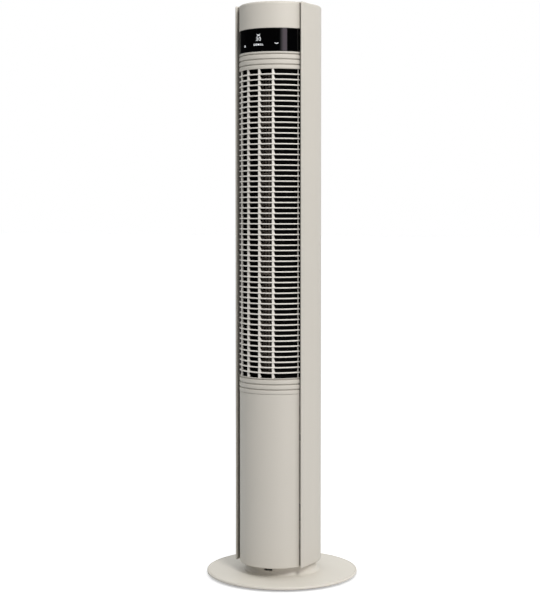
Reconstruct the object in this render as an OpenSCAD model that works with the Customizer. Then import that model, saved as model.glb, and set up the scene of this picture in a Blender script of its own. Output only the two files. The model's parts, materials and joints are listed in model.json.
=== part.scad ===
// Column tower fan on a round weighted base. The column swivels on the base, driven by a pinion that
// walks round a fixed gear, and a tall cross-flow impeller turns inside it.
// Origin: the middle of the footprint, on the floor. +Z is up, -Y is the front.

/* [Column] */
// Height of the column's top face above the floor
column_top = 1131; // [1126:1:1160]
// Height of the column's bottom edge above the floor
column_bottom = 30; // [30:0.5:31]
// Radius of the rounded back, about the swivel axis
rear_r = 78; // [77:0.5:82]
// Lean of the flat sides towards the front, in degrees
side_lean = 3; // [2:0.5:4]
// Distance from the swivel axis forward to the side panels' front edges
side_front = 57; // [56:0.5:58]
// Wall thickness of the moulded shells
wall = 2.6; // [2.2:0.1:2.8]
// Width of the seams between shells
seam = 0.4; // [0.3:0.1:0.6]
// Angle behind the side where a side panel meets the rear cover
rear_seam_angle = 42; // [38:1:44]

/* [Front] */
// Radius of the convex front
front_r = 74; // [73:0.5:75]
// Distance from the swivel axis forward to the centre of the front's arc
front_centre = 21.7; // [21:0.1:22]
// Half of the angle that the front covers
front_half_angle = 66.5; // [65:0.5:67]
// Height of the lower edge of the cap
cap_bottom = 1079; // [1076:1:1082]
// Height of the lower edge of the display band
display_bottom = 1034.4; // [1033:0.2:1036]
// Height of the top of the outlet grille
grille_top = 1001; // [1000:0.5:1002]
// Height of the bottom of the outlet grille
grille_bottom = 402; // [401:0.5:403]
// Height of the top of the plain lower panel
lower_panel_top = 370.4; // [370:0.2:371]
// Number of slats in each grille
slat_count = 57; // [40:1:60]
// Thickness of a slat
slat_t = 2.3; // [2:0.1:3.6]
// Depth of a slat
slat_depth = 6.5; // [5:0.5:7]
// Width of a grille rib
rib_w = 3.6; // [3:0.1:5]
// Angle between the ribs of the outlet grille
rib_step = 22.5; // [20:0.5:25]

/* [Base] */
// Radius of the round base
base_r = 150; // [145:1:165]
// Height of the base's rim
rim_z = 9; // [9:0.1:9.4]
// Radius of the neck under the column
neck_r = 69; // [68:0.5:70]
// Radius of the concave flare at the foot of the neck
flare_r = 7.5; // [6:0.5:8]
// Number of rubber feet and of base screws
feet = 6; // [4:1:8]

/* [Swivel drive] */
// Tooth size of the swivel gears
gear_module = 1.4; // [1.3:0.05:1.4]
// Teeth of the gear that is fixed to the base
fixed_teeth = 48; // [48]
// Teeth of the driving pinion
pinion_teeth = 16; // [16]

/* [Impeller] */
// Sideways place of the impeller's axis
impeller_x = 8; // [6:0.5:9]
// Front to back place of the impeller's axis
impeller_y = -8; // [-9:0.5:-6]
// Outer radius of the impeller
impeller_r = 44.5; // [40:0.5:45]
// Number of blades round the impeller
blade_count = 28; // [20:1:36]

/* [Hidden] */
$fn = 96;
eps = 0.01;
side_step = 0.1;                     // the flat sides start this far inside the round back

// Colours
greige = [0.80, 0.77, 0.72];
black_plastic = [0.03, 0.03, 0.035];
steel = [0.62, 0.63, 0.65];
rubber = [0.08, 0.08, 0.08];
ivory = [0.88, 0.86, 0.80];
board_green = [0.05, 0.30, 0.16];
brass = [0.78, 0.62, 0.32];
smoke = [0.16, 0.15, 0.14];

// Plan of the column
nose_r = 2.1;                       // rounded front edge of a side panel
nose_depth = 9;                     // depth of the thick rail behind that edge
inner_gap = wall + seam;            // from the outer face to a part that fits inside the shells
notch_y = -45;                      // front limit of the plates between the side panels
return_depth = 7;                   // flange behind each edge of a front piece
plate_half_angle = front_half_angle - 2.5; // keeps the inner plates clear of those flanges
far = 400;                          // larger than any section of the column

// Bands of the ring trims: three rings and one thin lip, parted by grooves
groove_w = 2.1;
groove_depth = 1.7;
ring_pitch = 10.1;
lip_h = 2.6;
panel_step = 0.6;                   // the plain lower panel stands this much behind the rings

// Outlet grille
opening_pitch = (grille_top - grille_bottom) / (slat_count + 1);
grille_half_angle = front_half_angle;
frame_angle = 1.4;                  // width of the grille's side frames, in degrees
frame_step = 4.4;                   // the side frames stand this much behind the slats' front edges
rib_depth = 3.2;
rib_step_back = 1.2;                // the ribs stand this much behind the slats' front edges

// Rear inlet
inlet_half_angle = 37;
inlet_r = rear_r - 0.5;

// Base
foot_h = 2.4;
foot_r = 9;
foot_circle_r = 128;
tray_r = 146;
tray_t = 1.6;
ballast_t = 3.2;
cover_t = 1.7;
cover_crown = 1;                    // rise of the base from its rim to the neck
rim_bottom = 4.4;
screw_circle_r = 112;

// Neck and pivot
collar_top = 28;
collar_plate_t = 2.5;
collar_foot_z = rim_z + cover_crown;
collar_screw_circle = 61;
window_angle = 5;                   // the window in the neck stands this far to the right of the front
post_r = 14;
post_bore_r = 10;
post_top = 44;
post_flange_r = 28;
post_flange_t = 3;
post_screw_circle = 22;
gear_screw_circle = 12;
running_gap = 0.05;
body_gap = 0.3;
turntable_t = 3;

// Swivel gears
sun_r = gear_module * fixed_teeth / 2;
pinion_r = gear_module * pinion_teeth / 2;
gear_centres = sun_r + pinion_r;
gear_h = 6;
backlash = 0.3;
addendum = 0.85 * gear_module;
dedendum = 1.15 * gear_module;
pressure_angle = 20;
osc_lug_x = 30;                     // the swivel motor's screws stand this far to either side
osc_lug_t = 1.5;
osc_plate_z = 53;
osc_plate_t = 2;
osc_motor_r = 25;
osc_motor_h = 19;
osc_shaft_r = 3.5;

// Impeller, from its hub to its top disc
blade_bottom = 404;
blade_top = 996;
segment_count = 6;
segment_h = (blade_top - blade_bottom) / segment_count;
disc_t = 2;
blade_inner_r = 0.75 * impeller_r;
blade_tip_r = impeller_r - 0.5;
blade_t = 1.1;
blade_sweep = 16;
shaft_r = 4;

// Air duct
duct_bottom = 390;
duct_top = 1005;
duct_t = 2;
duct_front_r = front_r - slat_depth - 2;
bearing_seat_r = 14;                // hole in the duct's end plates, and the rubber round the bearing
scroll_steps = 18;
scroll_gap = 4.5;
scroll_start = 100;
scroll_end = 207;
scroll_growth = 0.27;
outlet_edge_angle = rib_step + 2.4; // the tongue closes the outlet from the last rib to the right

// Main motor
motor_top = 384;
motor_h = 45;
motor_r = 38;
damper_h = 3;
motor_plate_z = motor_top + damper_h;
motor_plate_t = duct_bottom - motor_plate_z;
motor_screw_circle = 30;

// Rear cover and carrying recess
rear_half_angle = 90 - rear_seam_angle - seam * 180 / PI / rear_r;
housing_screw_z = [60, 380, 1020, 1115];
housing_screw_angle = 40;
cup_w = 96;
cup_h = 38;
cup_z = 1048;
cup_depth = 30;

// Display
board_w = 84;
board_h = 38;
board_y = -78;
display_mid = (cap_bottom + display_bottom) / 2;
touch_angle = 28.2;

// Lower compartment
chassis_bottom = column_bottom + turntable_t;
chassis_x = 60;
chassis_y = -18;
power_z = 150;
power_h = 120;
gland_z = 100;
gland_r = 7.5;
cord_bore_r = 3.6;

// Wires held in the housing, through points chosen by hand
wire_r = 2.2;
wire_hole = [-67, 14];
display_wire = [[-34, -73.8, 1042], [-40, -40, 1045], [wire_hole[0], wire_hole[1], 1020],
    [wire_hole[0], wire_hole[1], 330], [-40, -6, 262], [-40, -22, 255]];
supply_wire = [[0, 66, 100], [28, 36, 110], [28, -6, 150], [28, -22, 170]];
motor_wire = [[-20, -20, 250], [-20, 16, 290], [-12, 12, 336]];

// ---------------------------------------------------------------- plan helpers

// Outline of the column inside its shells: the rounded back and the leaning sides, moved in by `inset`
module column_outline(inset) {
    r = rear_r - inset;
    side_x = r - side_step;
    front_x = side_x - side_front * tan(side_lean);
    circle(r);
    polygon([[-side_x, 0], [-front_x, -side_front], [front_x, -side_front], [side_x, 0]]);
}

// Pie slice about the origin, from angle a0 to a1 (less than 180 degrees apart)
module slice(a0, a1) {
    mid = (a0 + a1) / 2;
    polygon([[0, 0], far * [cos(a0), sin(a0)], far * [cos(mid), sin(mid)], far * [cos(a1), sin(a1)]]);
}

// Ring sector about the origin
module ring_sector(r_in, r_out, a0, a1) {
    intersection() {
        difference() {
            circle(r_out);
            circle(r_in);
        }
        slice(a0, a1);
    }
}

// Ring sector about the centre of the front's arc, between two angles from the front
module front_sector(r_in, r_out, a0, a1) {
    translate([0, -front_centre])
        ring_sector(r_in, r_out, a0 - 90, a1 - 90);
}

// Plate that fills the column inside its side and rear shells and reaches an arc behind the front
module inner_plate(front_radius, half_angle, inset = inner_gap) {
    intersection() {
        column_outline(inset);
        translate([-far, notch_y])
            square([2 * far, far]);
    }
    intersection() {
        translate([0, -front_centre])
            circle(front_radius);
        translate([0, -front_centre])
            slice(-90 - half_angle, -90 + half_angle);
    }
}

// Screw along +Z with its head on top, its head's underside at z = 0
module screw(shank_r, shank_h, head_r, head_h) {
    cylinder(r = head_r, h = head_h, $fn = 32);
    translate([0, 0, -shank_h])
        cylinder(r = shank_r, h = shank_h + eps, $fn = 32);
}

// Copies its children at `count` places on a circle
module on_circle(count, r, start = 0) {
    for (i = [0 : count - 1])
        rotate(start + i * 360 / count)
            translate([r, 0, 0])
                children();
}

module at_impeller() {
    translate([impeller_x, impeller_y, 0])
        children();
}

// ---------------------------------------------------------------- base

module base_cover() color(greige) {
    edge = 1.4;
    difference() {
        rotate_extrude($fn = 180)
            difference() {
                polygon([[54, rim_z + cover_crown], [neck_r, rim_z + cover_crown], [base_r - edge, rim_z],
                    [base_r - edge / 3, rim_z - edge / 3], [base_r, rim_z - edge], [base_r, rim_bottom + 0.5],
                    [base_r - 0.5, rim_bottom], [54, rim_bottom]]);
                polygon([[53, rim_z + cover_crown - cover_t], [neck_r, rim_z + cover_crown - cover_t],
                    [base_r - 2, rim_z - cover_t], [base_r - 2, 0], [53, 0]]);
            }
        on_circle(4, collar_screw_circle, 45)
            cylinder(r = 1.7, h = 40, $fn = 32);
    }
    // bosses that take the base screws, down to the tray
    on_circle(feet, screw_circle_r, 30)
        translate([0, 0, foot_h + tray_t])
            difference() {
                cylinder(r = 5, h = rim_z - 1 - foot_h - tray_t, $fn = 32);
                translate([0, 0, -1])
                    cylinder(r = 1.6, h = 4.6, $fn = 32);
            }
}

module base_tray() color(greige)
    difference() {
        translate([0, 0, foot_h])
            cylinder(r = tray_r, h = tray_t, $fn = 180);
        on_circle(feet, screw_circle_r, 30)
            cylinder(r = 1.7, h = 10, $fn = 32);
        on_circle(feet, screw_circle_r, 30)
            translate([0, 0, foot_h - 1])
                cylinder(r = 3.8, h = 1.9, $fn = 32);
    }

module ballast_plate() color(steel)
    difference() {
        translate([0, 0, foot_h + tray_t])
            cylinder(r = 140, h = ballast_t, $fn = 180);
        cylinder(r = 72, h = 20);
        on_circle(feet, screw_circle_r, 30)
            cylinder(r = 6, h = 20, $fn = 32);
    }

module rubber_feet() color(rubber)
    on_circle(feet, foot_circle_r)
        cylinder(r = foot_r, h = foot_h, $fn = 48);

module base_screws() color(steel)
    on_circle(feet, screw_circle_r, 30)
        translate([0, 0, foot_h + 0.9])
            mirror([0, 0, 1])
                screw(1.45, 3.6, 3.4, 0.8);

module swivel_collar() color(greige) {
    flare_z = collar_foot_z + flare_r + 0.6;
    inner_r = neck_r - wall;
    difference() {
        rotate_extrude($fn = 180) {
            difference() {
                translate([post_r + 0.2, collar_foot_z])
                    square([neck_r - post_r + flare_r - 0.7, collar_top - collar_foot_z]);
                translate([neck_r + flare_r, flare_z])
                    circle(flare_r);
                translate([neck_r, flare_z])
                    square([20, 20]);
                square([inner_r, collar_top - collar_plate_t]);
            }
        }
        // small dark window under the front of the column
        rotate(window_angle)
            translate([-9, -neck_r - 5, 19.5])
                cube([18, 10, collar_top - collar_plate_t - 19.8]);
        on_circle(4, post_screw_circle, 45)
            cylinder(r = 1.6, h = 40, $fn = 32);
    }
    // bosses for the screws that come up through the base cover
    on_circle(4, collar_screw_circle, 45)
        translate([0, 0, collar_foot_z])
            difference() {
                cylinder(r = 4, h = collar_top - collar_plate_t - collar_foot_z + eps, $fn = 32);
                translate([0, 0, -1])
                    cylinder(r = 1.6, h = 12, $fn = 32);
            }
}

module collar_screws() color(steel)
    on_circle(4, collar_screw_circle, 45)
        translate([0, 0, collar_foot_z - cover_t - 0.1])
            mirror([0, 0, 1])
                screw(1.45, 11, 3, 1.6);

module pivot_post() color(steel)
    difference() {
        union() {
            translate([0, 0, collar_top - collar_plate_t - post_flange_t])
                cylinder(r = post_flange_r, h = post_flange_t);
            translate([0, 0, collar_top - collar_plate_t - post_flange_t])
                cylinder(r = post_r, h = post_top - collar_top + collar_plate_t + post_flange_t);
        }
        cylinder(r = post_bore_r, h = 100);
        on_circle(4, post_screw_circle, 45)
            cylinder(r = 1.6, h = 100, $fn = 32);
        on_circle(3, gear_screw_circle, 30)
            translate([0, 0, post_top - 8])
                cylinder(r = 1.1, h = 20, $fn = 32);
    }

module post_screws() color(steel)
    on_circle(4, post_screw_circle, 45)
        translate([0, 0, collar_top])
            screw(1.45, 5.4, 3, 1.4);

module bearing_ring() color(ivory)
    translate([0, 0, collar_top])
        difference() {
            cylinder(r = 60, h = column_bottom - collar_top - body_gap);
            translate([0, 0, -1])
                cylinder(r = 52, h = 10);
        }

// ---------------------------------------------------------------- swivel gears

function inv(a) = tan(a) * 180 / PI - a;
// Half of a tooth's angle at radius r
function tooth_half(r, teeth) =
    let (pitch_r = gear_module * teeth / 2, base = pitch_r * cos(pressure_angle),
        a = acos(min(1, base / max(r, base))))
    90 / teeth - backlash / 4 / pitch_r * 180 / PI + inv(pressure_angle) - inv(a);
function polar(r, a) = [r * cos(a), r * sin(a)];

// Involute gear outline, tooth 0 on +X
module gear_outline(teeth) {
    pitch_r = gear_module * teeth / 2;
    root = pitch_r - dedendum;
    tip = pitch_r + addendum;
    steps = 4;
    radii = [for (i = [0 : steps]) root + (tip - root) * i / steps];
    polygon([for (t = [0 : teeth - 1]) each concat(
        [for (i = [0 : steps]) polar(radii[i], t * 360 / teeth - tooth_half(radii[i], teeth))],
        [for (i = [steps : -1 : 0]) polar(radii[i], t * 360 / teeth + tooth_half(radii[i], teeth))])]);
}

module fixed_gear() color(ivory)
    translate([0, 0, post_top])
        difference() {
            linear_extrude(gear_h)
                gear_outline(fixed_teeth);
            translate([0, 0, -1])
                cylinder(r = post_bore_r, h = 20);
            on_circle(3, gear_screw_circle, 30)
                translate([0, 0, -1])
                    cylinder(r = 1.3, h = 20, $fn = 32);
        }

module gear_screws() color(steel)
    on_circle(3, gear_screw_circle, 30)
        translate([0, 0, post_top + gear_h])
            screw(1.0, 13, 1.9, 1.4);

module drive_pinion() color(ivory)
    translate([0, gear_centres, post_top + 0.2])
        difference() {
            union() {
                rotate(180 / pinion_teeth)
                    linear_extrude(gear_h - 0.4)
                        gear_outline(pinion_teeth);
                cylinder(r = 6.5, h = gear_h + 2.3);
            }
            translate([0, 0, -1])
                cylinder(r = osc_shaft_r, h = 20);
        }

module pinion_shaft() color(steel)
    translate([0, gear_centres, post_top + 0.2])
        cylinder(r = osc_shaft_r, h = osc_plate_z + osc_plate_t + 5.5 - post_top);

module oscillation_bracket() color(steel) {
    difference() {
        union() {
            translate([-38, 34, osc_plate_z])
                cube([76, 22, osc_plate_t]);
            for (side = [-1, 1])
                translate([side * 34, 45, column_bottom + turntable_t])
                    cylinder(r = 4, h = osc_plate_z - column_bottom - turntable_t + eps);
        }
        translate([0, gear_centres, 0])
            cylinder(r = 7, h = 100);
        for (side = [-1, 1])
            translate([side * osc_lug_x, gear_centres, 0])
                cylinder(r = 1.5, h = 100, $fn = 32);
    }
}

module oscillation_motor() color(steel)
    translate([0, gear_centres, osc_plate_z + osc_plate_t])
        difference() {
            union() {
                cylinder(r = osc_motor_r, h = osc_motor_h);
                motor_lugs();
            }
            translate([0, 0, -1])
                cylinder(r = osc_shaft_r + running_gap, h = 8);
            for (side = [-1, 1])
                translate([side * osc_lug_x, 0, -1])
                    cylinder(r = 1.5, h = 10, $fn = 32);
        }

// Flat lugs either side of the swivel motor
module motor_lugs() {
    translate([-osc_lug_x, -4, 0])
        cube([2 * osc_lug_x, 8, osc_lug_t]);
    for (side = [-1, 1])
        translate([side * osc_lug_x, 0, 0])
            cylinder(r = 4, h = osc_lug_t, $fn = 32);
}

module oscillation_screws() color(steel)
    for (side = [-1, 1])
        translate([side * osc_lug_x, gear_centres, osc_plate_z + osc_plate_t + osc_lug_t])
            screw(1.4, 4.5, 2.8, 1.8);

// ---------------------------------------------------------------- column shells

module turntable() color(greige)
    difference() {
        union() {
            translate([0, 0, column_bottom])
                linear_extrude(turntable_t)
                    inner_plate(front_r - panel_step - wall - seam, plate_half_angle);
            translate([0, 0, column_bottom])
                cylinder(r = 20, h = post_top - column_bottom - body_gap);
        }
        cylinder(r = post_r + running_gap, h = 100);
    }

// Right side panel: a thin shell with a thick rounded rail at its front edge
module side_panel_profile() {
    nose_line = (rear_r - side_step) * cos(side_lean) - nose_r;
    nose_y = nose_r - side_front;
    nose_x = nose_line * cos(side_lean) + (nose_y + nose_line * sin(side_lean)) * tan(side_lean);
    intersection() {
        difference() {
            column_outline(0);
            column_outline(wall);
        }
        polygon([[0, 0], [0, nose_y], [far, nose_y], [far, far * tan(rear_seam_angle)]]);
    }
    translate([nose_x, nose_y])
        rotate(-side_lean)
            polygon(concat([[-nose_r, nose_depth]], [for (a = [-180 : 7.5 : 0]) polar(nose_r, a)],
                [[nose_r, nose_depth]]));
}

module side_panel_right() color(greige)
    translate([0, 0, column_bottom])
        linear_extrude(column_top - column_bottom)
            side_panel_profile();

module side_panel_left() color(greige)
    mirror([1, 0, 0])
        side_panel_right();

module rear_cover() color(greige)
    difference() {
        translate([0, 0, column_bottom])
            linear_extrude(column_top - column_bottom)
                ring_sector(rear_r - wall, rear_r, 90 - rear_half_angle, 90 + rear_half_angle);
        // window for the inlet grille
        translate([0, 0, grille_bottom])
            linear_extrude(grille_top - grille_bottom)
                slice(90 - inlet_half_angle, 90 + inlet_half_angle);
        // hole for the handle cup
        translate([-cup_w / 2, 40, cup_z])
            cube([cup_w, 60, cup_h]);
        // hole for the cord gland
        translate([0, 0, gland_z])
            rotate([-90, 0, 0])
                cylinder(r = gland_r, h = 100);
        // holes for the housing screws
        at_housing_screws()
            translate([0, 0, -20])
                cylinder(r = 1.8, h = 40, $fn = 32);
    }

// Places of the screws that hold the rear cover, in two rows, each with its axis pointing out
module at_housing_screws()
    for (side = [-1, 1], z = housing_screw_z)
        rotate(90 + side * housing_screw_angle)
            translate([rear_r, 0, z])
                rotate([0, 90, 0])
                    children();

module housing_screws() color(steel)
    at_housing_screws()
        translate([0, 0, -1.4])
            screw(1.5, 9, 1.7, 1.2);

// Slatted grille: slats across a sector of a ring, side frames and vertical ribs
module slat_grille(r_out, half_angle, rib_angles) {
    r_in = r_out - slat_depth;
    for (i = [1 : slat_count])
        translate([0, 0, grille_bottom + i * opening_pitch - slat_t / 2])
            linear_extrude(slat_t)
                ring_sector(r_in, r_out, -90 - half_angle + frame_angle / 3, -90 + half_angle - frame_angle / 3);
    translate([0, 0, grille_bottom])
        linear_extrude(grille_top - grille_bottom) {
            for (side = [-1, 1])
                rotate(side * (half_angle - frame_angle / 2) - 90)
                    ring_sector(r_in, r_out - frame_step, -frame_angle / 2, frame_angle / 2);
            for (a = rib_angles)
                rotate(a - 90)
                    translate([r_out - rib_step_back - rib_depth, -rib_w / 2])
                        square([rib_depth, rib_w]);
        }
}

module front_grille() color(greige)
    translate([0, -front_centre, 0])
        slat_grille(front_r, grille_half_angle, [-2 * rib_step, -rib_step, 0, rib_step]);

module rear_inlet_grille() color(greige)
    rotate(180)
        slat_grille(inlet_r, inlet_half_angle - 0.3, [-inlet_half_angle / 3, inlet_half_angle / 3]);

// Finger recess for carrying, open to the back
module handle_cup() color(greige)
    intersection() {
        difference() {
            translate([-cup_w / 2 + 0.2, rear_r - cup_depth - 3, cup_z + 0.2])
                cube([cup_w - 0.4, 60, cup_h - 0.4]);
            translate([-cup_w / 2 + 2, rear_r - cup_depth - 1, cup_z + 2])
                cube([cup_w - 4, 80, cup_h - 4]);
        }
        cylinder(r = rear_r - 0.2, h = 2 * column_top, $fn = 180);
    }

module front_band(r_out, z0, z1) {
    translate([0, 0, z0])
        linear_extrude(z1 - z0) {
            front_sector(r_out - wall, r_out, -front_half_angle, front_half_angle);
            // return flanges behind both edges
            for (side = [-1, 1])
                front_sector(r_out - return_depth, r_out - wall + eps,
                    side * (front_half_angle - 1) - 1, side * (front_half_angle - 1) + 1);
        }
}

module top_cap() color(greige) {
    front_band(front_r, cap_bottom + seam / 2, column_top);
    translate([0, 0, column_top - wall])
        linear_extrude(wall)
            inner_plate(front_r, front_half_angle);
}

module display_lens() color(black_plastic)
    front_band(front_r - 0.1, display_bottom + seam / 2, cap_bottom - seam / 2);

// Front band cut by three grooves into three rings and a thin lip
module ring_trim(z0, z1, groove_z)
    difference() {
        front_band(front_r, z0, z1);
        for (z = groove_z)
            translate([0, -front_centre, z - groove_w / 2])
                difference() {
                    cylinder(r = front_r + 1, h = groove_w, $fn = 180);
                    translate([0, 0, -1])
                        cylinder(r = front_r - groove_depth, h = groove_w + 2, $fn = 180);
                }
    }

module upper_ring_trim() color(greige) {
    top = display_bottom - seam / 2;
    first = top - lip_h - groove_w / 2 - 1.2;
    ring_trim(grille_top, top, [for (i = [0 : 2]) first - i * ring_pitch]);
}

module lower_ring_trim() color(greige) {
    first = grille_bottom - lip_h;
    ring_trim(lower_panel_top + seam / 2, grille_bottom, [for (i = [0 : 2]) first - i * ring_pitch]);
}

module lower_front_panel() color(greige)
    front_band(front_r - panel_step, column_bottom, lower_panel_top - seam / 2);

// ---------------------------------------------------------------- display

module display_board() color(board_green)
    translate([-board_w / 2, board_y, display_mid - board_h / 2])
        cube([board_w, 1.6, board_h]);

module led_module() color(black_plastic)
    translate([-22, board_y - 10.5, display_mid - 14])
        cube([44, 10.5, 28]);

module touch_springs() color(brass)
    for (side = [-1, 1])
        translate([side * front_r * sin(touch_angle), board_y, display_mid - 4])
            rotate([90, 0, 0])
                difference() {
                    cylinder(r = 3.2, h = 3.6, $fn = 48);
                    translate([0, 0, -1])
                        cylinder(r = 2.4, h = 10, $fn = 48);
                }

module ir_receiver() color(smoke)
    translate([27, board_y, display_mid + 10])
        rotate([90, 0, 0]) {
            translate([-3, -3, 0])
                cube([6, 6, 3]);
            cylinder(r = 2.4, h = 4.8, $fn = 48);
        }

module buzzer() color(black_plastic)
    translate([-28, board_y + 1.6, display_mid])
        rotate([-90, 0, 0])
            cylinder(r = 6, h = 5.5, $fn = 48);

// ---------------------------------------------------------------- air duct

// Point of the scroll, which grows away from the impeller as it turns
function scroll_point(a, out) =
    let (r = (impeller_r + scroll_gap) * exp(scroll_growth * (a - scroll_start) * PI / 180) + out)
    [impeller_x + r * cos(a), impeller_y + r * sin(a)];
function front_point(r, a) = [r * sin(a), -front_centre - r * cos(a)];

module duct_walls() {
    angles = [for (i = [0 : scroll_steps]) scroll_start + (scroll_end - scroll_start) * i / scroll_steps];
    edge = -front_half_angle + 2;
    // scroll behind and to the left, which ends at the left edge of the outlet
    polygon(concat(
        [for (a = angles) scroll_point(a, 0)],
        [front_point(duct_front_r - duct_t, edge), front_point(duct_front_r, edge - 1.5)],
        [for (i = [scroll_steps : -1 : 0]) scroll_point(angles[i], duct_t)]));
    // tongue: a front plate to the right of the outlet, and a lip that turns back to the impeller
    front_sector(duct_front_r - duct_t, duct_front_r, outlet_edge_angle, front_half_angle - 3);
    tongue_tip = [impeller_x + (impeller_r + scroll_gap) * cos(-52),
        impeller_y + (impeller_r + scroll_gap) * sin(-52)];
    outlet_corner = front_point(duct_front_r - duct_t, outlet_edge_angle + 2);
    bar(outlet_corner, tongue_tip);
    bar(tongue_tip, [impeller_x + (impeller_r + scroll_gap + 3) * cos(-22),
        impeller_y + (impeller_r + scroll_gap + 3) * sin(-22)]);
}

// Straight wall between two points, carried on by half its thickness at both ends
module bar(p, q)
    translate(p)
        rotate(atan2(q[1] - p[1], q[0] - p[0]))
            translate([-duct_t / 2, -duct_t / 2])
                square([norm(q - p) + duct_t, duct_t]);

module air_duct() color(black_plastic)
    difference() {
        union() {
            translate([0, 0, duct_bottom])
                linear_extrude(duct_top - duct_bottom)
                    duct_walls();
            for (z = [duct_bottom, duct_top - duct_t])
                translate([0, 0, z])
                    linear_extrude(duct_t)
                        inner_plate(duct_front_r - duct_t / 2, plate_half_angle, inner_gap + 1);
        }
        at_impeller()
            cylinder(r = bearing_seat_r, h = 2 * column_top);
        wire_passage();
    }

// Hole for the wire to the display, through the plates inside the column
module wire_passage()
    translate(wire_hole)
        cylinder(r = wire_r + 1.3, h = 2 * column_top, $fn = 48);

module bearing_rubber() color(rubber)
    at_impeller()
        translate([0, 0, duct_top - duct_t - 3])
            difference() {
                cylinder(r = bearing_seat_r, h = 8);
                translate([0, 0, -1])
                    cylinder(r = 8, h = 20);
            }

module upper_bearing() color(brass)
    at_impeller()
        translate([0, 0, duct_top - duct_t - 3])
            difference() {
                cylinder(r = 8, h = 8);
                translate([0, 0, -1])
                    cylinder(r = shaft_r + running_gap, h = 20);
            }

// ---------------------------------------------------------------- impeller

// Angle by which a blade has curved forward, from 0 at its inner edge to 1 at its tip
function blade_angle(t) = blade_sweep * t * t;
// Half of a blade's thickness at radius r, as an angle
function blade_half(r) = blade_t / 2 / r * 180 / PI;

// One curved blade on +X, from the inner to the outer radius
module blade_outline() {
    steps = 5;
    radii = [for (i = [0 : steps]) blade_inner_r + (blade_tip_r - blade_inner_r) * i / steps];
    polygon(concat(
        [for (i = [0 : steps]) polar(radii[i], blade_angle(i / steps) - blade_half(radii[i]))],
        [for (i = [steps : -1 : 0]) polar(radii[i], blade_angle(i / steps) + blade_half(radii[i]))]));
}

module impeller_segment(index) color(smoke)
    at_impeller()
        translate([0, 0, blade_bottom + (index - 1) * segment_h]) {
            difference() {
                cylinder(r = impeller_r, h = disc_t);
                if (index > 1)
                    translate([0, 0, -1])
                        cylinder(r = blade_inner_r - 5, h = 10);
            }
            translate([0, 0, disc_t - eps])
                linear_extrude(segment_h - disc_t + eps)
                    for (i = [0 : blade_count - 1])
                        rotate(i * 360 / blade_count)
                            blade_outline();
        }

module impeller_top_disc() color(smoke)
    at_impeller()
        translate([0, 0, blade_top])
            cylinder(r = impeller_r, h = disc_t);

module stub_shaft() color(steel)
    at_impeller()
        translate([0, 0, blade_top + disc_t])
            cylinder(r = shaft_r, h = 14);

module impeller_hub() color(rubber)
    at_impeller()
        translate([0, 0, blade_bottom - 9])
            difference() {
                cylinder(r = 11, h = 9);
                translate([0, 0, -1])
                    cylinder(r = shaft_r, h = 20);
            }

// ---------------------------------------------------------------- main motor

module motor_shaft() color(steel)
    at_impeller()
        translate([0, 0, motor_top - motor_h - 6])
            cylinder(r = shaft_r, h = blade_bottom - motor_top + motor_h + 6);

module motor_rotor() color(steel)
    at_impeller()
        translate([0, 0, motor_top - motor_h + 8])
            difference() {
                cylinder(r = 24.4, h = motor_h - 16);
                translate([0, 0, -1])
                    cylinder(r = shaft_r, h = 60);
            }

module motor_stator() color(brass)
    at_impeller()
        translate([0, 0, motor_top - motor_h + 6])
            difference() {
                cylinder(r = motor_r - 2, h = motor_h - 12);
                translate([0, 0, -1])
                    cylinder(r = 25, h = 60);
            }

module motor_can() color(steel)
    at_impeller()
        translate([0, 0, motor_top - motor_h])
            difference() {
                cylinder(r = motor_r, h = motor_h);
                translate([0, 0, 2])
                    cylinder(r = motor_r - 2, h = motor_h - 4);
                translate([0, 0, -1])
                    cylinder(r = shaft_r + running_gap, h = 60);
                on_circle(4, motor_screw_circle, 45)
                    translate([0, 0, motor_h - 3])
                        cylinder(r = 1.7, h = 10, $fn = 32);
            }

module motor_dampers() color(rubber)
    at_impeller()
        on_circle(4, motor_screw_circle, 45)
            translate([0, 0, motor_top])
                difference() {
                    cylinder(r = 5, h = damper_h, $fn = 48);
                    translate([0, 0, -1])
                        cylinder(r = 1.7, h = 10, $fn = 32);
                }

module motor_screws() color(steel)
    at_impeller()
        on_circle(4, motor_screw_circle, 45)
            translate([0, 0, motor_plate_z + motor_plate_t - 2])
                screw(1.5, 5.5, 3.2, 1.9);

module motor_bracket() color(steel)
    difference() {
        translate([0, 0, motor_plate_z])
            linear_extrude(motor_plate_t)
                inner_plate(duct_front_r, plate_half_angle, inner_gap + 1);
        wire_passage();
        at_impeller()
            cylinder(r = 12, h = 2 * column_top);
        at_impeller()
            on_circle(4, motor_screw_circle, 45) {
                cylinder(r = 1.7, h = 2 * column_top, $fn = 32);
                translate([0, 0, motor_plate_z + motor_plate_t - 2])
                    cylinder(r = 3.4, h = 10, $fn = 32);
            }
    }

// ---------------------------------------------------------------- lower compartment

// Two posts that carry the motor plate, and two cross bars between them
module lower_chassis() color(black_plastic) {
    for (side = [-1, 1])
        translate([side * chassis_x - 5, chassis_y - 7, chassis_bottom])
            cube([10, 14, motor_plate_z - chassis_bottom]);
    for (z = [power_z - 14, power_z + power_h + 4])
        translate([-chassis_x, chassis_y - 7, z])
            cube([2 * chassis_x, 12, 10]);
}

module power_board() color(board_green)
    translate([-48, chassis_y - 7 - 1.6, power_z - 14])
        cube([96, 1.6, power_h + 28]);

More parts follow.
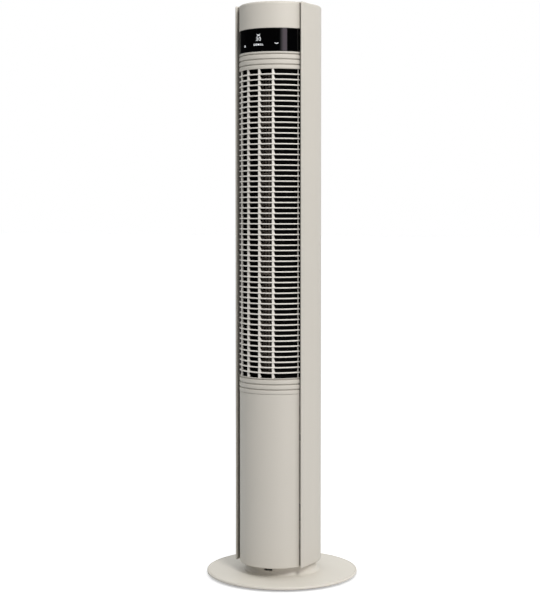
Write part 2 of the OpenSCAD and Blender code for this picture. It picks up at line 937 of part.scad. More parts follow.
module power_components() color(smoke)
    translate([0, chassis_y - 7 - 1.6, power_z])
        rotate([90, 0, 0]) {
            translate([-40, 6, 0])
                cube([32, 30, 22]);
            translate([2, 4, 0])
                cube([14, 20, 16]);
            translate([-26, 66, 0])
                cylinder(r = 9, h = 26);
            translate([0, 66, 0])
                cylinder(r = 6, h = 20);
            translate([22, 50, 0])
                cube([20, 16, 14]);
            translate([-40, 96, 0])
                cube([30, 8, 9]);
            translate([8, 96, 0])
                cube([24, 8, 9]);
        }

// Rubber bush for the mains lead, through the lower back of the column
module cord_gland() color(rubber)
    translate([0, rear_r - wall - 6, gland_z])
        rotate([-90, 0, 0])
            difference() {
                union() {
                    cylinder(r = gland_r, h = wall + 10);
                    translate([0, 0, 6 + wall])
                        cylinder(r = gland_r + 2.5, h = 2.5);
                    translate([0, 0, 3])
                        cylinder(r = gland_r + 2, h = 2.2);
                }
                translate([0, 0, -1])
                    cylinder(r = cord_bore_r, h = 40);
            }

// Straight runs with round elbows
module wire(points)
    for (i = [0 : len(points) - 2])
        hull()
            for (p = [points[i], points[i + 1]])
                translate(p)
                    sphere(wire_r, $fn = 10);

module wiring_loom() color(rubber) {
    wire(display_wire);
    wire(supply_wire);
    wire(motor_wire);
}

base_cover();
base_tray();
ballast_plate();
rubber_feet();
base_screws();
swivel_collar();
collar_screws();
pivot_post();
post_screws();
bearing_ring();
fixed_gear();
gear_screws();
turntable();
side_panel_left();
side_panel_right();
rear_cover();
rear_inlet_grille();
handle_cup();
top_cap();
display_lens();
upper_ring_trim();
front_grille();
lower_ring_trim();
lower_front_panel();
display_board();
led_module();
touch_springs();
ir_receiver();
buzzer();
air_duct();
bearing_rubber();
upper_bearing();
motor_bracket();
motor_can();
motor_stator();
motor_dampers();
motor_screws();
lower_chassis();
power_board();
power_components();
oscillation_bracket();
oscillation_motor();
oscillation_screws();
cord_gland();
wiring_loom();
housing_screws();
impeller_segment(1);  // impeller_segment_1
impeller_segment(2);  // impeller_segment_2
impeller_segment(3);  // impeller_segment_3
impeller_segment(4);  // impeller_segment_4
impeller_segment(5);  // impeller_segment_5
impeller_segment(6);  // impeller_segment_6
impeller_top_disc();
impeller_hub();
stub_shaft();
motor_shaft();
motor_rotor();
drive_pinion();
pinion_shaft();
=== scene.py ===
import json
import math

import bpy
import numpy as np
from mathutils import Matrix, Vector

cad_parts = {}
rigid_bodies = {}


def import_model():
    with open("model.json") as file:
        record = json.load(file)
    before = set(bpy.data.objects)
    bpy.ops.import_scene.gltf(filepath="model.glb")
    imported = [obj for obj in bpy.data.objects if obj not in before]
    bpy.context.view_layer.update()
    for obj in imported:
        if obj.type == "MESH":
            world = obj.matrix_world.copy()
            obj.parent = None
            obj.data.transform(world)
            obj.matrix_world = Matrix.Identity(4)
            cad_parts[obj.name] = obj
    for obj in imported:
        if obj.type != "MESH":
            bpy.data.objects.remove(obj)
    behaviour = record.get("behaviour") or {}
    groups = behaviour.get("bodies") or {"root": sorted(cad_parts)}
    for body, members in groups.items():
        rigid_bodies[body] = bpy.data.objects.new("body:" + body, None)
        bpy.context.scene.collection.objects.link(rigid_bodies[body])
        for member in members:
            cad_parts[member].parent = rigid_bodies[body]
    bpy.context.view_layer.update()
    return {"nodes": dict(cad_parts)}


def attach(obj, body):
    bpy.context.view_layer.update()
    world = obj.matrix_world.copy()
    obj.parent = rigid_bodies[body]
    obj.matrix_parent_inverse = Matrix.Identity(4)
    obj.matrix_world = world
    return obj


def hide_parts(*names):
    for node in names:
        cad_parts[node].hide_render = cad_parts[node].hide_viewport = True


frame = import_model()

MM = 0.001
SCENE = bpy.context.scene

# ------------------------------------------------------------------ sizes, in millimetres and degrees
TOP, BOTTOM = 1131.0, 30.0  # ends of the column
WALL, SEAM = 2.6, 0.4
LEAST_FRONT, LEAST_REAR = 1.4, 1.0  # wall left behind a rounded edge
SUPPORT = 0.35  # a row of points this close to a rounding keeps the flat beside it flat

# front stack, on an arc of radius FRONT_R whose middle is FRONT_C in front of the axis
FRONT_R, FRONT_C, HALF = 74.0, 21.7, 66.5
FLANGE, FLANGE_DEG = 7.0, 2.6  # the ends turn in this deep
CAP_BOTTOM, DISPLAY_BOTTOM = 1079.0, 1034.4
GRILLE_TOP, GRILLE_BOTTOM, PANEL_TOP = 1001.0, 402.0, 370.4
TOP_ROUND, CORNER_R = 4.4, 8.0
CAP_EDGE, CAP_END = 0.9, 1.2
LID_FRONT, LID_GAP = -50.5, 0.35
RING_WALL = 3.6
GROOVES, GROOVE_PITCH, GROOVE_W, GROOVE_DEPTH, GROOVE_EDGE = 3, 10.1, 2.1, 2.8, 1.3
UPPER_GROOVE, LOWER_GROOVE = 4.65, 2.6  # from a band's top to its highest groove

# grilles
SLATS, SLAT_T, SLAT_DEPTH, SLAT_NOSE, SLAT_CHAMFER = 57, 2.3, 6.5, 1.05, 0.5
SLAT_PITCH = (GRILLE_TOP - GRILLE_BOTTOM) / (SLATS + 1)
RIB_STEP, RIB_W, RIB_SET, RIB_DEPTH, RIB_EDGE = 22.5, 3.6, 1.2, 3.2, 0.6
GUSSET, GUSSET_LEAST, GUSSET_CURVE, GUSSET_STEPS = 2.8, 0.6, 1.3, 4
FRAME_DEG, FRAME_SET, FRAME_EDGE = 1.4, 4.4, 0.7
INLET_HALF, INLET_R, INLET_GAP = 37.0, 77.5, 0.3

# side panels and rear cover: flats that lean in towards the front, and a round back
REAR_R, REAR_SEAM = 78.0, 42.0
LEAN, LEAN_END, SIDE_STEP, SIDE_FRONT, SIDE_NOSE = 3.0, -4.0, 0.1, 57.0, 2.1
SIDE_LIP, SIDE_LIP_DEPTH = 4.2, 9.0  # the panel is thicker near its front edge
NOSE_SHARE = 0.42  # share of the top's rounding that the front edge takes
SHELL_ROUND, SHELL_FOOT = TOP_ROUND - 0.2, 1.6
CUP_W, CUP_H, CUP_Z, CUP_BACK, CUP_GAP, CUP_WALL = 96.0, 38.0, 1048.0, 45.0, 0.4, 1.8
GLAND_Z, GLAND_HALF = 100.0, 8.0
SCREW_Z, SCREW_ANGLE, WELL, HOLE_R = (60.0, 380.0, 1020.0, 1115.0), 40.0, 3.0, 1.95

# base
BASE_R, BASE_BORE, RIM_TOP, RIM_LOW, RIM_ROUND = 150.0, 54.0, 9.0, 4.4, 1.5
FOOT_Z, COVER_WALL = RIM_TOP + 1.0, 1.7
TRAY_R, TRAY_BORE, TRAY_LOW, TRAY_HIGH = 146.0, 20.0, 2.4, 4.0
NECK_R, FLARE_R, COLLAR_TOP, COLLAR_WALL, COLLAR_BORE = 69.0, 7.5, 28.0, 2.5, 14.2
SLOT_AT, SLOT_HALF, SLOT_LOW, SLOT_HIGH = 275.0, math.degrees(9.0 / NECK_R), 19.5, 25.2


# ------------------------------------------------------------------ materials
def node(tree, kind, **values):
    """New shader node; each value goes to the input of that name or, without one, to the attribute."""
    made = tree.nodes.new(kind)
    for key, value in values.items():
        if key in made.inputs:
            made.inputs[key].default_value = value
        else:
            setattr(made, key, value)
    return made


def surface(name, colour, rough, grain=900.0, bump=0.05, tone=0.04, patch=9.0, metallic=0.0,
            stretch=(1, 1, 1), coat=0.0, rough_spread=0.06, specular=0.5):
    """Procedural finish: fine grain as bump, soft patches of tone and of roughness."""
    material = bpy.data.materials.new(name)
    material.use_nodes = True
    tree = material.node_tree
    link = tree.links.new
    shader = tree.nodes["Principled BSDF"]
    coords = node(tree, "ShaderNodeTexCoord")
    mapping = node(tree, "ShaderNodeMapping", Scale=stretch)
    link(coords.outputs["Object"], mapping.inputs["Vector"])
    patches = node(tree, "ShaderNodeTexNoise", Scale=patch, Detail=3.0, Roughness=0.55)
    link(mapping.outputs["Vector"], patches.inputs["Vector"])
    fine = node(tree, "ShaderNodeTexNoise", Scale=grain, Detail=2.0, Roughness=0.6)
    link(mapping.outputs["Vector"], fine.inputs["Vector"])

    # 0.7 of the patches and 0.3 of the grain
    scaled = node(tree, "ShaderNodeMath", operation="MULTIPLY")
    scaled.inputs[1].default_value = 0.7
    link(patches.outputs["Fac"], scaled.inputs[0])
    both = node(tree, "ShaderNodeMath", operation="MULTIPLY_ADD")
    both.inputs[1].default_value = 0.3
    link(fine.outputs["Fac"], both.inputs[0])
    link(scaled.outputs[0], both.inputs[2])

    tones = node(tree, "ShaderNodeMix", data_type="RGBA", blend_type="MIX")
    tones.inputs["A"].default_value = tuple(c * (1 - tone) for c in colour) + (1,)
    tones.inputs["B"].default_value = tuple(min(1, c * (1 + tone)) for c in colour) + (1,)
    link(both.outputs[0], tones.inputs["Factor"])
    link(tones.outputs["Result"], shader.inputs["Base Color"])
    spread = node(tree, "ShaderNodeMapRange")
    spread.inputs["To Min"].default_value = max(0.02, rough - rough_spread)
    spread.inputs["To Max"].default_value = min(1.0, rough + rough_spread)
    link(both.outputs[0], spread.inputs["Value"])
    link(spread.outputs["Result"], shader.inputs["Roughness"])
    relief = node(tree, "ShaderNodeBump", Strength=bump, Distance=0.0004)
    link(fine.outputs["Fac"], relief.inputs["Height"])
    link(relief.outputs["Normal"], shader.inputs["Normal"])
    shader.inputs["Metallic"].default_value = metallic
    shader.inputs["Coat Weight"].default_value = coat
    shader.inputs["Specular IOR Level"].default_value = specular
    return material


MATERIALS = {
    # shell is the base_shell plastic made darker: painted shade on the column's upright faces
    "shell": surface("shell", (0.535, 0.509, 0.455), 0.46, grain=1400, bump=0.10, tone=0.025, patch=7),
    "grille": surface("grille", (0.720, 0.695, 0.645), 0.42, grain=1400, bump=0.08, tone=0.03, patch=14),
    "base_shell": surface("base_shell", (0.625, 0.595, 0.532), 0.44, grain=1300, bump=0.10, tone=0.025,
                          patch=9),
    "recess": surface("recess", (0.560, 0.530, 0.470), 0.55, grain=700, bump=0.25, tone=0.04, patch=16),
    "display_gloss": surface("display_gloss", (0.0006, 0.0006, 0.0007), 0.05, grain=60, bump=0.004, tone=0.2,
                             patch=20, rough_spread=0.015),
    "inner_black": surface("inner_black", (0.003, 0.003, 0.003), 0.8, grain=900, bump=0.2, tone=0.15,
                           patch=24, specular=0.06),
    "rubber": surface("rubber", (0.028, 0.028, 0.029), 0.78, grain=1100, bump=0.35, tone=0.15, patch=40),
    "cable": surface("cable", (0.045, 0.045, 0.048), 0.6, grain=800, bump=0.3, tone=0.12, patch=60),
    "zinc_steel": surface("zinc_steel", (0.60, 0.61, 0.63), 0.34, grain=260, bump=0.08, tone=0.09, patch=55,
                          metallic=1.0, rough_spread=0.1),
    "ballast_steel": surface("ballast_steel", (0.10, 0.10, 0.105), 0.5, grain=500, bump=0.25, tone=0.2,
                             patch=30, metallic=0.8, rough_spread=0.12),
    "screw_steel": surface("screw_steel", (0.55, 0.55, 0.56), 0.3, grain=1500, bump=0.1, tone=0.1, patch=300,
                           metallic=1.0, rough_spread=0.08),
    "shaft_steel": surface("shaft_steel", (0.75, 0.75, 0.76), 0.16, grain=1200, bump=0.05, tone=0.04,
                           patch=60, metallic=1.0, stretch=(1, 1, 12), rough_spread=0.05),
    "nylon": surface("nylon", (0.82, 0.79, 0.70), 0.4, grain=700, bump=0.1, tone=0.04, patch=50),
    "circuit_board": surface("circuit_board", (0.015, 0.11, 0.05), 0.32, grain=420, bump=0.3,
                             tone=0.25, patch=120, coat=0.3),
    "components": surface("components", (0.04, 0.04, 0.045), 0.42, grain=600, bump=0.2, tone=0.25, patch=70),
    "bronze": surface("bronze", (0.66, 0.48, 0.25), 0.38, grain=1500, bump=0.3, tone=0.1, patch=120,
                      metallic=1.0),
    "winding": surface("winding", (0.60, 0.27, 0.11), 0.35, grain=900, bump=0.5, tone=0.2, patch=90,
                       metallic=0.9, stretch=(1, 1, 6)),
    "impeller_plastic": surface("impeller_plastic", (0.24, 0.20, 0.17), 0.38, grain=900, bump=0.12, tone=0.1,
                                patch=30),
}


def glow(name, colour, strength):
    """Finish of a lit sign."""
    material = surface(name, colour, 0.4, grain=500, bump=0.02, tone=0.03, patch=80)
    shader = material.node_tree.nodes["Principled BSDF"]
    shader.inputs["Emission Color"].default_value = colour + (1,)
    shader.inputs["Emission Strength"].default_value = strength
    return material


LIT = glow("lit_icon", (0.85, 0.88, 0.9), 0.75)

# CAD nodes that stay visible, by the record's material slots
CAD_SLOTS = {
    "shell": ["turntable"],
    "inner_black": ["air_duct", "lower_chassis", "led_module", "buzzer"],
    "rubber": ["rubber_feet", "bearing_rubber", "motor_dampers", "impeller_hub", "cord_gland"],
    "cable": ["wiring_loom"],
    "zinc_steel": ["pivot_post", "oscillation_bracket", "motor_bracket", "motor_can", "oscillation_motor",
                   "motor_rotor"],
    "ballast_steel": ["ballast_plate"],
    "screw_steel": ["base_screws", "collar_screws", "post_screws", "gear_screws", "motor_screws",
                    "oscillation_screws", "housing_screws"],
    "shaft_steel": ["stub_shaft", "motor_shaft", "pinion_shaft"],
    "nylon": ["bearing_ring", "fixed_gear", "drive_pinion"],
    "circuit_board": ["display_board", "power_board"],
    "components": ["power_components", "ir_receiver"],
    "bronze": ["upper_bearing", "touch_springs"],
    "winding": ["motor_stator"],
    "impeller_plastic": [f"impeller_segment_{k}" for k in range(1, 7)] + ["impeller_top_disc"],
}

for slot_name, cad_names in CAD_SLOTS.items():
    for cad_name in cad_names:
        cad_object = frame["nodes"][cad_name]
        cad_object.data.materials.clear()
        cad_object.data.materials.append(MATERIALS[slot_name])


# ------------------------------------------------------------------ mesh building
def turn(angle):
    """Cosine and sine of an angle in degrees."""
    a = math.radians(angle)
    return math.cos(a), math.sin(a)


def polar(r, angle):
    """Point at a radius, and at an angle from the x axis."""
    cos, sin = turn(angle)
    return r * cos, r * sin


def spaced(start, end, steps):
    """Evenly spaced values from start to end, with both ends."""
    return [start + (end - start) * k / steps for k in range(steps + 1)]


class Solid:
    """One Blender piece, made of closed parts."""

    def __init__(self):
        self.points, self.faces = [], []

    def add(self, points, faces):
        """Adds one closed part, with its faces turned outwards."""
        corners = [Vector(p) for p in points]
        volume = sum(corners[face[0]].dot(corners[face[i]].cross(corners[face[i + 1]]))
                     for face in faces for i in range(1, len(face) - 1))
        start = len(self.points)
        self.points += [tuple(p) for p in corners]
        self.faces += [[start + i for i in (face if volume > 0 else reversed(face))] for face in faces]

    def sheet(self, outer, inner, missing=None):
        """Closed shell between two grids of points, left open where missing is true."""
        outer, inner = np.asarray(outer, float), np.asarray(inner, float)
        rows, cols = outer.shape[:2]
        size = rows * cols
        solid = np.ones((rows - 1, cols - 1), bool)
        if missing is not None:
            solid &= ~missing
        faces = []

        def at(r, c):
            return r * cols + c

        def has(r, c):
            return 0 <= r < rows - 1 and 0 <= c < cols - 1 and solid[r, c]

        for r in range(rows - 1):
            for c in range(cols - 1):
                if not solid[r, c]:
                    continue
                ring = [at(r, c), at(r, c + 1), at(r + 1, c + 1), at(r + 1, c)]
                faces.append(ring)
                faces.append([size + i for i in reversed(ring)])
                for k, (dr, dc) in enumerate(((-1, 0), (0, 1), (1, 0), (0, -1))):
                    if not has(r + dr, c + dc):
                        a, b = ring[k], ring[(k + 1) % 4]
                        faces.append([b, a, size + a, size + b])
        self.add(np.concatenate([outer.reshape(-1, 3), inner.reshape(-1, 3)]), faces)

    def tube(self, rings, loop=False):
        """Skin over closed rings of points, capped at both ends unless the rings run in a loop."""
        n = len(rings[0])
        faces = []
        last = len(rings) if loop else len(rings) - 1
        for k in range(last):
            a, b = k * n, ((k + 1) % len(rings)) * n
            for i in range(n):
                j = (i + 1) % n
                faces.append([a + i, a + j, b + j, b + i])
        if not loop:
            faces.append(list(reversed(range(n))))
            faces.append([(len(rings) - 1) * n + i for i in range(n)])
        self.add([p for ring in rings for p in ring], faces)

    def lathe(self, profile, steps):
        """Closed profile of (radius, height), turned round the swivel axis."""
        angles = spaced(0, 360, steps)[:-1]
        self.tube([[(*polar(r, angle), z) for r, z in profile] for angle in angles], loop=True)

    def make(self, name, body, slot_name, replaces=(), material=None, sharp=32):
        """Makes the Blender object, on its body and in its slot."""
        mesh = bpy.data.meshes.new(name)
        mesh.from_pydata([(x * MM, y * MM, z * MM) for x, y, z in self.points], [], self.faces)
        mesh.validate()
        mesh.update()
        mesh.shade_smooth()
        mesh.set_sharp_from_angle(angle=math.radians(sharp))
        obj = bpy.data.objects.new(name, mesh)
        SCENE.collection.objects.link(obj)
        mesh.materials.append(material or MATERIALS[slot_name])
        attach(obj, body)
        if replaces:
            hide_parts(*replaces)


# ------------------------------------------------------------------ outlines and rows
def rounding(r, steps):
    """Rise and inset along a quarter round, from its edge to where it meets the face."""
    return [(r - x, r - y) for x, y in (polar(r, angle) for angle in spaced(0, 90, steps))]


def low_edge(z, r, steps):
    """Rows (height, inset) of a rounded lower edge."""
    return [(z + rise, inset) for rise, inset in rounding(r, steps)]


def high_edge(z, r, steps):
    """Rows (height, inset) of a rounded upper edge."""
    return [(z - rise, inset) for rise, inset in reversed(rounding(r, steps))]


def band_rows(z0, z1, low, high, steps=4, middle=1):
    """Rows of a band with rounded edges, and a support row beside each."""
    rows = low_edge(z0, low, steps) + [(z0 + low + SUPPORT, 0.0)]
    rows += [(z, 0.0) for z in spaced(z0 + low, z1 - high, middle)[1:-1]]
    rows += [(z1 - high - SUPPORT, 0.0)]
    return rows + high_edge(z1, high, steps)


def rounded_box(width, height, r, steps=3):
    """Outline of a rounded rectangle, anticlockwise."""
    x, y = width / 2 - r, height / 2 - r
    points = []
    for cx, cy, start in ((x, y, 0), (-x, y, 90), (-x, -y, 180), (x, -y, 270)):
        for angle in spaced(start, start + 90, steps):
            dx, dy = polar(r, angle)
            points.append((cx + dx, cy + dy))
    return points


def front(r, angle, z):
    """Point of the front at an angle to the right of straight ahead."""
    cos, sin = turn(angle)
    return (r * sin, -FRONT_C - r * cos, z)


def rear(r, angle, z):
    """Point at the back at an angle from straight behind, towards -x."""
    cos, sin = turn(angle)
    return (-r * sin, r * cos, z)


def front_band(solid, r, rows, wall=WALL, corner=None, end_round=0.8, cols=44):
    """Curved front piece: rows are (height, inset); its two ends turn in as flanges."""
    ends = [(math.degrees(rise / r), inset) for rise, inset in rounding(end_round, 4)]
    ends.append((ends[-1][0] + math.degrees(SUPPORT / r), 0.0))
    walls = [FLANGE] * len(ends) + [wall] * (cols + 1) + [FLANGE] * len(ends)
    outer, inner = [], []
    for z, inset in rows:
        half = HALF - (corner(z) if corner else 0.0)
        line = [(a - half, end_inset) for a, end_inset in ends]
        line += [(a, 0.0) for a in spaced(FLANGE_DEG - half, half - FLANGE_DEG, cols)]
        line += [(half - a, end_inset) for a, end_inset in reversed(ends)]
        outer.append([front(r - inset - end_inset, a, z) for a, end_inset in line])
        depths = [max(depth, inset + LEAST_FRONT) for depth in walls]
        inner.append([front(r - depth, a, z) for depth, (a, _) in zip(depths, line)])
    solid.sheet(outer, inner)


# ------------------------------------------------------------------ front pieces
def cap_corner(z):
    """How far the cap's rounded upper corners move its ends in at a height, in degrees."""
    over = max(0.0, z - (TOP - CORNER_R))
    return math.degrees((CORNER_R - math.sqrt(CORNER_R ** 2 - over ** 2)) / FRONT_R)


def lid_ring(shrink, z):
    """Outline of the lid inside the shells, anticlockwise; shrink leaves its front edge where it is.

    The front edge meets the inner face of the front band, so that the two read as one moulding."""
    r = REAR_R - TOP_ROUND - LID_GAP
    cos, sin = turn(LEAN)
    flats = [(r - SIDE_STEP + y * sin / cos, y) for y in spaced(LID_FRONT, LEAN_END, 6)]
    edge = flats + [polar(r, angle) for angle in spaced(0, 180, 72)] + [(-x, y) for x, y in reversed(flats)]
    ring = []
    for x, y in edge:
        share = 1 - shrink / math.hypot(x, y)
        ring.append((x * share, y * share, z))
    front_r = FRONT_R - TOP_ROUND - LEAST_FRONT + 0.02
    front_half = HALF - 6.6
    return ring + [front(front_r, angle, z) for angle in spaced(-front_half, front_half, 48)]


def make_cap():
    low = CAP_BOTTOM + SEAM / 2
    rows = low_edge(low, CAP_EDGE, 4) + [(low + CAP_EDGE + SUPPORT, 0.0)]
    rows += [(z, 0.0) for z in spaced(low + CAP_EDGE, TOP - TOP_ROUND, 3)[1:-1]]
    rows += [(TOP - CORNER_R + 0.6, 0.0), (TOP - TOP_ROUND - SUPPORT, 0.0)]
    rows += high_edge(TOP, TOP_ROUND, 8)
    cap = Solid()
    front_band(cap, FRONT_R, rows, corner=cap_corner, end_round=CAP_END)
    lid = ((0, TOP - WALL), (0, TOP - 0.5), (0.15, TOP - 0.15), (0.5, TOP))
    cap.tube([lid_ring(shrink, z) for shrink, z in lid])
    cap.make("cap", "column", "shell", ["top_cap"])


def make_display_window():
    window = Solid()
    rows = band_rows(DISPLAY_BOTTOM + SEAM / 2, CAP_BOTTOM - SEAM / 2, 0.4, 0.4)
    front_band(window, FRONT_R - 0.1, rows, end_round=0.4, cols=64)
    window.make("display_window", "column", "display_gloss", ["display_lens"])


def make_rings(name, z0, z1, first, cad):
    """Band that grooves part into rounded rings; first is the height of its highest groove."""
    rows = low_edge(z0, 0.8, 3)
    for k in reversed(range(GROOVES)):
        low = first - GROOVE_PITCH * k - GROOVE_W / 2
        high = low + GROOVE_W
        rows += high_edge(low, GROOVE_EDGE, 5)
        rows += [(low + 0.05, GROOVE_DEPTH), (high - 0.05, GROOVE_DEPTH)]
        rows += low_edge(high, GROOVE_EDGE, 5)
    rows += high_edge(z1, 0.6, 3)
    rings = Solid()
    front_band(rings, FRONT_R, rows, wall=RING_WALL)
    rings.make(name, "column", "shell", [cad])


def make_lower_panel():
    panel = Solid()
    front_band(panel, FRONT_R - 0.6, band_rows(BOTTOM, PANEL_TOP - SEAM / 2, 1.8, 0.7, 5, 4))
    panel.make("lower_panel", "column", "shell", ["lower_front_panel"])


make_cap()
make_display_window()
ring_top = DISPLAY_BOTTOM - SEAM / 2
make_rings("upper_rings", GRILLE_TOP, ring_top, ring_top - UPPER_GROOVE, "upper_ring_trim")
make_rings("lower_rings", PANEL_TOP + SEAM / 2, GRILLE_BOTTOM, GRILLE_BOTTOM - LOWER_GROOVE,
           "lower_ring_trim")
make_lower_panel()


# ------------------------------------------------------------------ grilles
def slat_section(r, z):
    """Section of a slat as (radius, height), with a rounded nose and a chamfered back."""
    half, back = SLAT_T / 2, r - SLAT_DEPTH
    section = [(back, z - half + SLAT_CHAMFER), (back + SLAT_CHAMFER, z - half)]
    for side, start in ((-1, -90), (1, 0)):
        for angle in spaced(start, start + 90, 3):
            dr, dz = polar(SLAT_NOSE, angle)
            section.append((r - SLAT_NOSE + dr, z + side * (half - SLAT_NOSE) + dz))
    return section + [(back + SLAT_CHAMFER, z + half), (back, z + half - SLAT_CHAMFER)]


def upright(solid, section, place):
    """Bar through the grille's whole height, with a section of (radius, angle)."""
    solid.tube([[place(r, angle, z) for r, angle in section] for z in (GRILLE_BOTTOM, GRILLE_TOP)])


def side_frame(solid, r, half, side, place):
    """Upright at one end of the slats, with its front edges rounded."""
    low, high = sorted((side * half, side * (half - FRAME_DEG)))
    edge = math.degrees(FRAME_EDGE / r)
    face, back = r - FRAME_SET, r - SLAT_DEPTH
    upright(solid, [(back, low), (back, high), (face - FRAME_EDGE, high), (face - 0.2, high - edge * 0.3),
                    (face, high - edge), (face, low + edge), (face - 0.2, low + edge * 0.3),
                    (face - FRAME_EDGE, low)], place)


def rib(solid, r, angle, place):
    """Upright rib, and the gussets that widen it downwards to one side in every gap."""
    middle = r - RIB_SET - RIB_DEPTH / 2
    box = rounded_box(RIB_DEPTH, RIB_W, RIB_EDGE)
    upright(solid, [(middle + u, angle + math.degrees(v / middle)) for u, v in box], place)
    back, face = middle - RIB_DEPTH / 2 + 0.2, middle + RIB_DEPTH / 2 - 0.2
    near = angle + math.degrees((RIB_W / 2 - RIB_EDGE) / middle)
    for gap in range(SLATS + 1):
        low = GRILLE_BOTTOM + gap * SLAT_PITCH + SLAT_T / 2 - 0.1
        rings = []
        for up in spaced(0, 1, GUSSET_STEPS):
            width = GUSSET_LEAST + GUSSET * (1 - up) ** GUSSET_CURVE
            far = near + math.degrees(width / middle)
            z = low + (SLAT_PITCH - SLAT_T) * up
            rings.append([place(radius, side, z)
                          for radius, side in ((back, far), (face, far), (face, near), (back, near))])
        solid.tube(rings)


def make_grille(name, r, half, ribs, place, cad):
    grille = Solid()
    end = half - FRAME_DEG / 3
    for i in range(1, SLATS + 1):
        section = slat_section(r, GRILLE_BOTTOM + i * SLAT_PITCH)
        grille.tube([[place(radius, angle, z) for radius, z in section] for angle in spaced(-end, end, 40)])
    for side in (-1, 1):
        side_frame(grille, r, half, side, place)
    for angle in ribs:
        rib(grille, r, angle, place)
    grille.make(name, "column", "grille", [cad])


make_grille("outlet_grille", FRONT_R, HALF, [k * RIB_STEP for k in (-2, -1, 0, 1)], front, "front_grille")
make_grille("inlet_grille", INLET_R, INLET_HALF - INLET_GAP, [-INLET_HALF / 3, INLET_HALF / 3], rear,
            "rear_inlet_grille")


# ------------------------------------------------------------------ side panels and rear cover
def shell_levels():
    """Rows (height, inset) of the side panels and of the rear cover."""
    rows = low_edge(BOTTOM, SHELL_FOOT, 4) + [(BOTTOM + SHELL_FOOT + SUPPORT, 0.0)]
    rows += [(z, 0.0) for z in (200, 400, 600, 800, 1000, TOP - SHELL_ROUND - SUPPORT)]
    return rows + high_edge(TOP, SHELL_ROUND, 8)


def side_section(inset):
    """Outer and inner line of the right side panel, from its rounded front edge back to the rear seam.

    The inset fades towards the front edge, so that the top's rounding doesn't thin that edge away."""
    outer, inner = [], []

    def add(x, y, normal, move, depth):
        outer.append((x - move * normal[0], y - move * normal[1]))
        inner.append((x - depth * normal[0], y - depth * normal[1]))

    cos, sin = turn(LEAN)
    nose_y = SIDE_NOSE - SIDE_FRONT
    nose_x = ((REAR_R - SIDE_STEP) * cos - SIDE_NOSE + nose_y * sin) / cos
    nose_r = SIDE_NOSE - min(inset * NOSE_SHARE, SIDE_NOSE - 0.25)
    for swing in spaced(0, 90, 8):
        for line, angle in ((outer, -90 - LEAN + swing), (inner, -90 - LEAN - swing)):
            dx, dy = polar(nose_r, angle)
            line.append((nose_x + dx, nose_y + dy))
    for back in (3, 6, 9, 10.5, 14, 20, 28, 36, 44):
        y = nose_y + back
        move = inset * (NOSE_SHARE + (1 - NOSE_SHARE) * min(1, back / 30))
        depth = SIDE_LIP - move if back <= SIDE_LIP_DEPTH else max(WALL, move + LEAST_REAR)
        add(REAR_R - SIDE_STEP + y * sin / cos, y, (cos, -sin), move, depth)
    for angle in spaced(-5.5, REAR_SEAM, 34):
        add(*polar(REAR_R, angle), turn(angle), inset, max(WALL, inset + LEAST_REAR))
    return outer, inner


def make_side(name, mirror, cad):
    outer, inner = [], []
    for z, inset in shell_levels():
        for rows, line in zip((outer, inner), side_section(inset)):
            row = [(x, y, z) for x, y in line]
            rows.append([(-x, y, z) for x, y, z in reversed(row)] if mirror else row)
    side = Solid()
    side.sheet(outer, inner)
    side.make(name, "column", "shell", [cad], sharp=38)


def screw_well(solid, angle, z):
    """Square patch of the rear cover with a round, softly edged hole in it for a screw's head."""
    rings = []
    for around in spaced(0, 360, 32)[:-1]:
        across, up = turn(around)
        reach = WELL / max(abs(across), abs(up))
        section = [(reach, 0.0), (HOLE_R + 0.55, 0.0), (HOLE_R + 0.15, 0.15), (HOLE_R, 0.5), (HOLE_R, WALL),
                   (reach, WALL)]
        rings.append([(*polar(REAR_R - depth, angle + math.degrees(r * across / REAR_R)), z + r * up)
                      for r, depth in section])
    solid.tube(rings, loop=True)


def make_rear_shell():
    gap = math.degrees(SEAM / REAR_R)
    cup_half = math.degrees(math.asin(CUP_W / 2 / REAR_R))
    well_half = math.degrees(WELL / REAR_R)
    # openings as (lowest, highest, angle, half angle)
    openings = [(GRILLE_BOTTOM, GRILLE_TOP, 90, INLET_HALF), (CUP_Z, CUP_Z + CUP_H, 90, cup_half),
                (GLAND_Z - GLAND_HALF, GLAND_Z + GLAND_HALF, 90, math.degrees(GLAND_HALF / REAR_R))]
    screws = [(90 + side * SCREW_ANGLE, z) for side in (-1, 1) for z in SCREW_Z]
    openings += [(z - WELL, z + WELL, angle, well_half) for angle, z in screws]
    cols, levels = set(spaced(REAR_SEAM + gap, 180 - REAR_SEAM - gap, 48)), set(shell_levels())
    for low, high, angle, half in openings:
        cols |= {angle - half, angle + half}
        levels |= {(low, 0.0), (high, 0.0)}
    cols, levels = sorted(cols), sorted(levels)
    outer = [[(*polar(REAR_R - inset, a), z) for a in cols] for z, inset in levels]
    inner = [[(*polar(REAR_R - max(WALL, inset + LEAST_REAR), a), z) for a in cols] for z, inset in levels]
    missing = np.zeros((len(levels) - 1, len(cols) - 1), bool)
    for r in range(len(levels) - 1):
        z = (levels[r][0] + levels[r + 1][0]) / 2
        for c in range(len(cols) - 1):
            a = (cols[c] + cols[c + 1]) / 2
            missing[r, c] = any(low < z < high and abs(a - angle) < half
                                for low, high, angle, half in openings)
    cover = Solid()
    cover.sheet(outer, inner, missing)
    for angle, z in screws:
        screw_well(cover, angle, z)
    cover.make("rear_shell", "column", "shell", ["rear_cover"])


